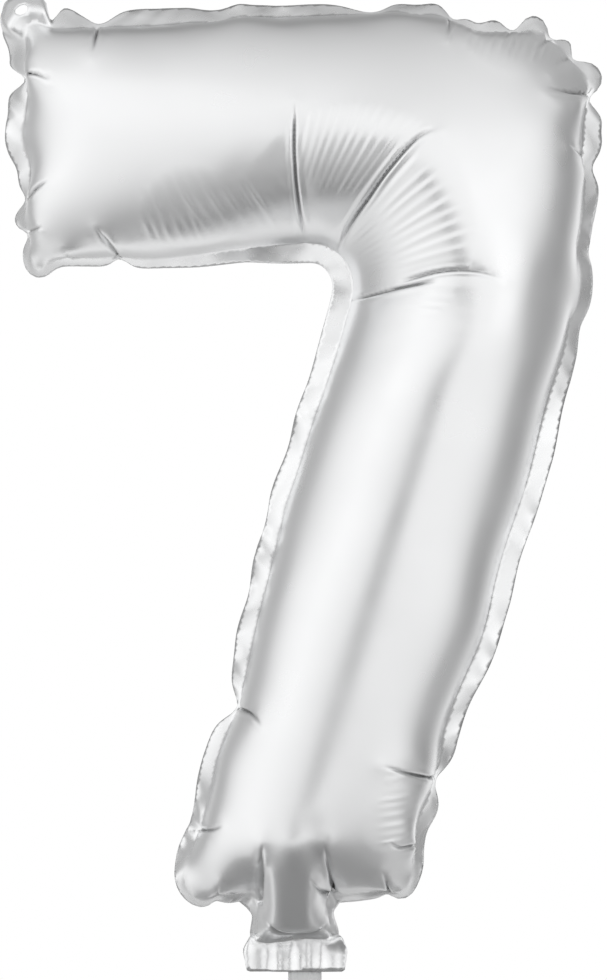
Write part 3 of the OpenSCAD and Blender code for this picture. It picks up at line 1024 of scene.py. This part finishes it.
def release_patch(cut, middle, coat):
    """The heat-resistant print inside the valve, at the height of the cross weld."""
    low, high = (np.array(v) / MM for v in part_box("valve_release_print"))
    sides = np.linspace(low[0], high[0], 15) - FOLD[0]
    strip = Strip(sides, heights_between(high[2] + 0.8, low[2], FOLD[2], 0.8, 0.3))
    near, far = (moved_back(strip.places(cut, middle), VALVE_GAP * k) for k in (0.2, 0.8))
    return shell_object("release_print", near, far, strip.faces(), [coat])


# ---- materials
class Net:
    """The shader nodes of a material or a world, and short ways to add to them."""

    def __init__(self, owner):
        owner.use_nodes = True
        self.nodes = owner.node_tree.nodes
        self.links = owner.node_tree.links

    def feed(self, socket, value):
        """Links an output to the socket, or sets the socket to a number or a colour."""
        if isinstance(value, bpy.types.NodeSocket):
            self.links.new(value, socket)
        else:
            socket.default_value = value

    def add(self, kind, **inputs):
        """A new node. Its inputs are named with _ for each space."""
        node = self.nodes.new("ShaderNode" + kind)
        for name, value in inputs.items():
            self.feed(node.inputs[name.replace("_", " ")], value)
        return node

    def noise(self, scale, detail=2.0, distortion=0.0):
        """Noise in the object's own space, turned so that no flat piece lies along its cells."""
        spot = self.add("TexCoord").outputs["Object"]
        place = self.add("Mapping", Vector=spot, Rotation=(0.6, 0.35, 0.8)).outputs["Vector"]
        return self.add("TexNoise", Vector=place, Scale=scale, Detail=detail,
                        Distortion=distortion).outputs["Fac"]

    def spread(self, value, low, high):
        """A noise value taken to the range low to high."""
        node = self.add("MapRange", Value=value, From_Min=0.3, From_Max=0.7,
                        To_Min=low, To_Max=high)
        node.clamp = False
        return node.outputs["Result"]

    def ramp(self, value, stops, interpolation="LINEAR"):
        """Colours by a value, from stops (position, colour)."""
        node = self.add("ValToRGB", Fac=value)
        node.color_ramp.interpolation = interpolation
        elements = node.color_ramp.elements
        while len(elements) < len(stops):
            elements.new(0.5)
        for element, (position, colour) in zip(elements, stops):
            element.position = position
            element.color = (*colour, 1)
        return node.outputs["Color"]

    def math(self, operation, *values):
        node = self.add("Math")
        node.operation = operation
        for socket, value in zip(node.inputs, values):
            self.feed(socket, value)
        return node.outputs[0]

    def mixed(self, share, first, second):
        """The first colour where share is 0, the second where it is 1."""
        node = self.add("Mix")
        node.data_type = "RGBA"
        for k, value in ((0, share), (6, first), (7, second)):
            self.feed(node.inputs[k], value)
        return node.outputs[2]


def plain_material(name, colour, metallic=0.0, alpha=1.0, roughness=0.9):
    """A new material, its nodes and its shader."""
    material = bpy.data.materials.new(name)
    net = Net(material)
    shader = net.nodes["Principled BSDF"]
    shader.inputs["Base Color"].default_value = (*colour, 1)
    shader.inputs["Metallic"].default_value = metallic
    shader.inputs["Alpha"].default_value = alpha
    shader.inputs["Roughness"].default_value = roughness
    return material, net, shader


# The films: colour, metallic, alpha; a haze, as noise (scale, detail) and the roughness it
# gives (low, high); a relief, as noise (scale, detail, distortion) and bump (strength, distance)
FILMS = {
    # Metallised film, satin, with a faint haze and slow unevenness
    "foil": ((0.92, 0.925, 0.93), 1.0, 1.0,
             (45.0, 2.0), (0.27, 0.34), (30.0, 0.0), (0.12, 0.0006)),
    # The same film where the heat seal has crimped it
    "foil_seal": ((0.93, 0.935, 0.94), 1.0, 1.0,
                  (120.0, 3.0), (0.24, 0.34), (240.0, 0.0), (0.06, 0.0005)),
    # Thin milky film
    "valve_film": ((0.93, 0.94, 0.945), 0.0, 0.55,
                   (260.0, 3.0), (0.22, 0.38), (420.0, 2.0, 0.5), (0.3, 0.0003)),
    # The valve's fused edges, whiter than its film
    "valve_weld": ((0.95, 0.955, 0.96), 0.0, 0.85,
                   (500.0, 2.0), (0.3, 0.45), (500.0, 2.0), (0.3, 0.0002)),
    # The matt grey print
    "release_print": ((0.35, 0.36, 0.37), 0.0, 1.0,
                      (2400.0, 2.0), (0.6, 0.8), (2400.0, 2.0), (0.2, 0.00005)),
}
# Brightness of the foil's colour at the bottom of a sharp fold, where little light gets in: painted
# shade
PAINTED_FOLD_DARK = 0.36


def film_material(name):
    """A film's material. The foil's colour is darkened in its sharp folds: painted shade."""
    colour, metallic, alpha, haze, roughness, relief, (strength, distance) = FILMS[name]
    material, net, shader = plain_material(name, colour, metallic, alpha)
    net.feed(shader.inputs["Roughness"], net.spread(net.noise(*haze), *roughness))
    bump = net.add("Bump", Height=net.noise(*relief), Strength=strength, Distance=distance)
    net.feed(shader.inputs["Normal"], bump.outputs["Normal"])
    if name == "foil":
        # Painted shade: the fold attribute darkens the foil's base colour
        shade = net.add("Attribute")
        shade.attribute_name = "painted_fold_shade"
        stops = [(0, colour), (1, [PAINTED_FOLD_DARK * c for c in colour])]
        net.feed(shader.inputs["Base Color"], net.ramp(shade.outputs["Fac"], stops))
    return material


# ---- putting it together
def build_balloon():
    """Makes the pieces, bakes each into place and hides the CAD parts it stands for. The cross
    weld hangs on the neck flap's body.
    """
    foil, seal, film, weld, coat = (film_material(name) for name in FILMS)
    cut, front, back, painted_shades, side, drop = make_film()
    front_film, back_film = foil_sheets(cut, front, back, painted_shades, side, drop, foil, seal)
    # In the margin and the skirt the front's points also give the surface between the films
    middle = front
    rim, cross = weld_pieces(cut, middle, side, drop, seal)
    upper = valve_part(
        cut, middle, ("valve_front", "valve_back", "valve_edges"),
        valve_high[2], VALVE_SPLIT, FOLD[2], film, weld)
    lower = valve_part(
        cut, middle, ("tail_front", "tail_back", "tail_edges"),
        VALVE_SPLIT, tail_low[2], TAIL_FOLD[2], film, weld)
    patch = release_patch(cut, middle, coat)
    # Each bend: the bodies above and below it, and the heights where it starts and ends
    neck = ("balloon", "neck_flap", FOLD[2] + 0.8, FOLD[2] - 2.0)
    tail = ("neck_flap", "valve_tail", TAIL_FOLD[2] + 0.7, TAIL_FOLD[2] - 0.7)
    for piece, (above, below, start, end), slot, *nodes in (
            (front_film, neck, "foil", "front_foil", "flap_front_foil"),
            (back_film, neck, "foil", "back_foil", "flap_back_foil"),
            (rim, neck, "weld", "perimeter_weld", "flap_side_welds"),
            (upper[0], neck, "valve_film", "valve_front_film", "flap_valve_front_film"),
            (upper[1], neck, "valve_film", "valve_back_film", "flap_valve_back_film"),
            (upper[2], neck, "valve_film", "valve_edge_welds", "flap_valve_edge_welds"),
            (patch, neck, "release_print", "valve_release_print"),
            (lower[0], tail, "valve_film", "tail_front_film"),
            (lower[1], tail, "valve_film", "tail_back_film"),
            (lower[2], tail, "valve_film", "tail_edge_welds")):
        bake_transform(piece)
        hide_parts(*nodes)
    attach(cross, "neck_flap")
    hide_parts("flap_cross_weld")


build_balloon()


# ---- light, floor and camera
# Brightness of the studio by the angle from the front, in degrees, towards each side
TO_LEFT = [(0, 0.93), (17, 0.86), (29, 0.88), (41, 0.93), (60, 0.98), (78, 0.95), (95, 0.78),
           (112, 0.46), (126, 0.42), (142, 0.52), (158, 0.8), (180, 0.9)]
TO_RIGHT = [(0, 0.93), (17, 0.93), (29, 0.96), (45, 0.99), (62, 0.96), (78, 0.74), (92, 0.34),
            (114, 0.28), (130, 0.50), (144, 0.88), (160, 1.0), (180, 0.9)]
TO_TOP = [(0, 0.93), (20, 0.92), (36, 0.82), (55, 0.74), (80, 0.64), (100, 0.56), (118, 0.46),
          (138, 0.24), (156, 0.35), (180, 0.9)]
TO_FLOOR = [(0, 0.93), (14, 0.92), (28, 0.70), (42, 0.47), (58, 0.33), (72, 0.36), (88, 0.58),
            (104, 0.80), (120, 0.84), (140, 0.55), (158, 0.5), (180, 0.9)]
STUDIO_LEVEL = 0.8
STUDIO_STRENGTH = 1.34
LAMP_SIZE = 2.0
# The floor lies this far below the CAD, and the dark card this far above the floor
FLOOR_BELOW = 0.06
FLOOR_RADIUS = 0.9
CARD_ABOVE_FLOOR = 0.034
CAMERA_DISTANCE = 2.5
# The picture shows this much less than the CAD's height, starts this far below its top and
# has its middle here
SEEN_LESS = 0.0127
TOP_LESS = 0.0030
MIDDLE_X = 0.1015


def studio_world():
    """A white studio: white behind the object, soft grey gaps between the softboxes."""
    world = bpy.data.worlds.new("studio")
    bpy.context.scene.world = world
    net = Net(world)
    heading = net.add("TexCoord").outputs["Generated"]
    x, y, z = net.add("SeparateXYZ", Vector=heading).outputs
    away = net.math("DIVIDE", net.math("ARCCOSINE", net.math("MULTIPLY", y, -1.0)), math.pi)
    flat, tall = net.math("MULTIPLY", x, x), net.math("MULTIPLY", z, z)
    both = net.math("ADD", net.math("ADD", flat, tall), 1e-5)
    upright = net.math("DIVIDE", tall, both)
    low, high, left, right = (
        net.ramp(away, [(degrees / 180, [level * STUDIO_LEVEL] * 3) for degrees, level in stops],
                 "EASE") for stops in (TO_FLOOR, TO_TOP, TO_LEFT, TO_RIGHT))
    vertical = net.mixed(net.math("GREATER_THAN", z, 0.0), low, high)
    sideways = net.mixed(net.math("GREATER_THAN", x, 0.0), left, right)
    lit = net.nodes["Background"]
    net.feed(lit.inputs["Color"], net.mixed(upright, sideways, vertical))
    net.feed(lit.inputs["Strength"], STUDIO_STRENGTH)
    white = net.add("Background", Color=(1, 1, 1, 1))
    pick = net.add("MixShader", Fac=net.add("LightPath").outputs["Is Camera Ray"])
    net.feed(pick.inputs[1], lit.outputs[0])
    net.feed(pick.inputs[2], white.outputs[0])
    net.feed(net.nodes["World Output"].inputs["Surface"], pick.outputs[0])


def soft_light(name, place, power, aim):
    light = bpy.data.lights.new(name, "AREA")
    light.size = LAMP_SIZE
    light.energy = power
    lamp = added(name, light)
    lamp.location = place
    lamp.rotation_euler = (aim - place).to_track_quat("-Z", "Y").to_euler()


def staged(name, points, material, unseen, place=(0, 0, 0)):
    """A flat piece of the set; unseen lists the kinds of ray that don't meet it."""
    mesh = bpy.data.meshes.new(name)
    mesh.from_pydata(points, [], [list(range(len(points)))])
    mesh.materials.append(material)
    thing = added(name, mesh)
    thing.location = place
    for ray in unseen:
        setattr(thing, "visible_" + ray, False)


def dark_card(centre):
    """A grey card in front of the leg, out of the camera's sight, that the film mirrors."""
    x, y = centre.x + 0.005, centre.y - 0.42
    half, lean, top, bottom = 0.062, 0.06, cad_box[1].z - 0.125, cad_box[0].z - 0.03
    points = [(x - half - lean, y, bottom), (x + half - lean, y, bottom),
              (x + half, y, top), (x - half, y, top)]
    material = plain_material("card_grey", (0.75, 0.75, 0.75))[0]
    staged("card", points, material, ("camera", "shadow"))


def ground_card(centre):
    """A dark card below the neck, out of the camera's sight, that the feet mirror. It fades
    towards its edges."""
    wide, deep = 0.085, 0.12
    material, net, shader = plain_material("card_dark", (0.3, 0.3, 0.3))
    spot = net.add("TexCoord").outputs["Object"]
    scaled = net.add("Mapping", Vector=spot, Scale=(1 / wide, 1 / deep, 1))
    fade = net.add("TexGradient", Vector=scaled.outputs["Vector"])
    fade.gradient_type = "SPHERICAL"
    stops = [(0, [0.62] * 3), (0.6, [0.36] * 3)]
    net.feed(shader.inputs["Base Color"], net.ramp(fade.outputs["Fac"], stops))
    points = [(-wide, -deep, 0), (wide, -deep, 0), (wide, deep, 0), (-wide, deep, 0)]
    place = (centre.x, -0.07, cad_box[0].z - FLOOR_BELOW + CARD_ABOVE_FLOOR)
    staged("ground_card", points, material, ("camera", "shadow"), place)


def pale_floor(centre):
    """A round pale floor below the balloon."""
    points = [(centre.x + FLOOR_RADIUS * math.cos(a), centre.y - 0.1 + FLOOR_RADIUS * math.sin(a),
               cad_box[0].z - FLOOR_BELOW) for a in np.linspace(0, 2 * math.pi, 96, endpoint=False)]
    material, net, shader = plain_material("pale_floor", (0.86, 0.86, 0.855))
    net.feed(shader.inputs["Roughness"], net.spread(net.noise(25.0), 0.6, 0.75))
    staged("floor", points, material, ("glossy",))


def front_camera():
    """Level with the balloon's middle and square to its front."""
    seen_height = (cad_box[1].z - cad_box[0].z) - SEEN_LESS
    middle = Vector((MIDDLE_X, 0, cad_box[1].z - TOP_LESS - seen_height / 2))
    data = bpy.data.cameras.new("camera")
    data.sensor_fit = "VERTICAL"
    data.sensor_height = 36
    data.lens = data.sensor_height * CAMERA_DISTANCE / seen_height
    camera = added("camera", data)
    camera.location = middle + Vector((0, -CAMERA_DISTANCE, 0))
    camera.rotation_euler = (math.pi / 2, 0, 0)
    bpy.context.scene.camera = camera
    return middle


centre = front_camera()
studio_world()
pale_floor(centre)
soft_light("key", centre + Vector((-1.9, -2.2, 1.2)), 1.2, centre)
soft_light("fill", centre + Vector((2.2, -1.8, 0.6)), 0.9, centre)
dark_card(centre)
ground_card(centre)
bpy.context.scene.view_settings.view_transform = "Standard"

bpy.context.view_layer.update()
